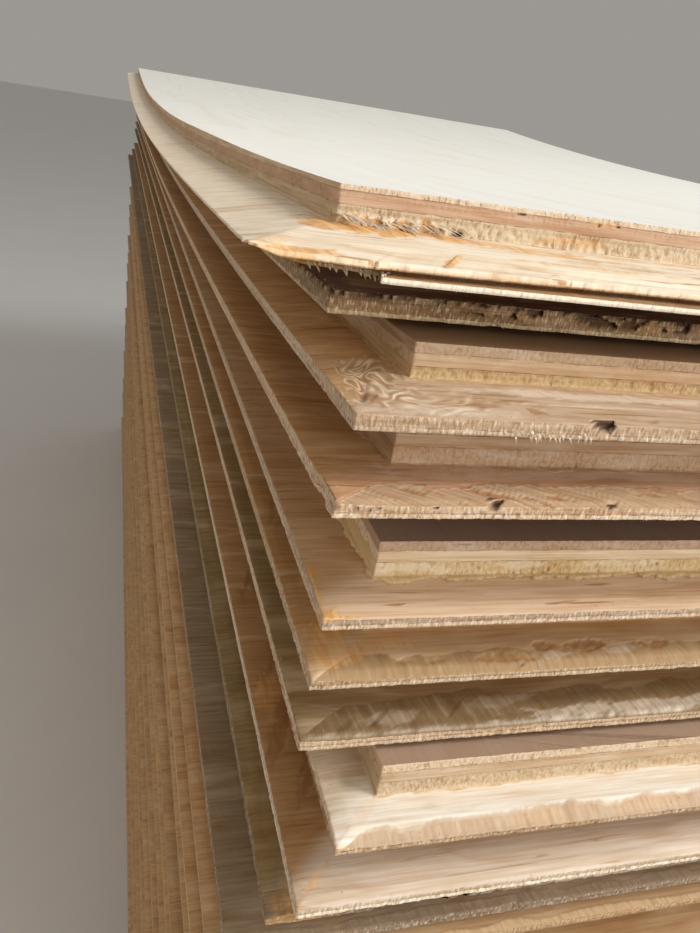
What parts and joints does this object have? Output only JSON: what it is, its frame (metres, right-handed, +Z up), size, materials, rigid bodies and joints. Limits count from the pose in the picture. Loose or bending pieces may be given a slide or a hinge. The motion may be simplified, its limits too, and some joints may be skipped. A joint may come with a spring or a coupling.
{
  "type": "stack of plywood sheets",
  "caption": "Stack of raw plywood sheets, slightly out of line, each with a ledge milled along its near end and left side so that a thin lip of plies sticks out.",
  "frame": {"origin": "centre of the lowest sheet's underside, on the floor", "axes": "+Z up through the stack, +Y along the sheets away from the milled end, +X across them away from the milled side"},
  "size_m": [1.2536, 2.5084, 1.1219],
  "materials": {
    "plywood": "raw rotary-cut veneer, milled edges torn and splintered"
  },
  "bodies": {
    "root": {"sheet_01": "plywood", "sheet_02": "plywood", "sheet_03": "plywood", "sheet_04": "plywood", "sheet_05": "plywood", "sheet_06": "plywood", "sheet_07": "plywood", "sheet_08": "plywood", "sheet_09": "plywood", "sheet_10": "plywood", "sheet_11": "plywood", "sheet_12": "plywood", "sheet_13": "plywood", "sheet_14": "plywood", "sheet_15": "plywood", "sheet_16": "plywood", "sheet_17": "plywood", "sheet_18": "plywood", "sheet_19": "plywood", "sheet_20": "plywood", "sheet_21": "plywood", "sheet_22": "plywood", "sheet_23": "plywood", "sheet_24": "plywood", "sheet_25": "plywood", "sheet_26": "plywood", "sheet_27": "plywood", "sheet_28": "plywood", "sheet_29": "plywood", "sheet_30": "plywood", "sheet_31": "plywood", "sheet_32": "plywood", "sheet_33": "plywood", "sheet_34": "plywood", "sheet_35": "plywood", "sheet_36": "plywood", "sheet_37": "plywood", "sheet_38": "plywood", "sheet_39": "plywood", "sheet_40": "plywood", "sheet_41": "plywood", "sheet_42": "plywood", "sheet_43": "plywood", "sheet_44": "plywood", "sheet_45": "plywood", "sheet_46": "plywood", "sheet_47": "plywood", "sheet_48": "plywood", "sheet_49": "plywood", "sheet_50": "plywood", "sheet_51": "plywood", "sheet_52": "plywood", "sheet_53": "plywood", "sheet_54": "plywood", "sheet_55": "plywood", "sheet_56": "plywood", "sheet_57": "plywood", "sheet_58": "plywood", "sheet_59": "plywood", "sheet_60": "plywood"}
  },
  "joints": []
}
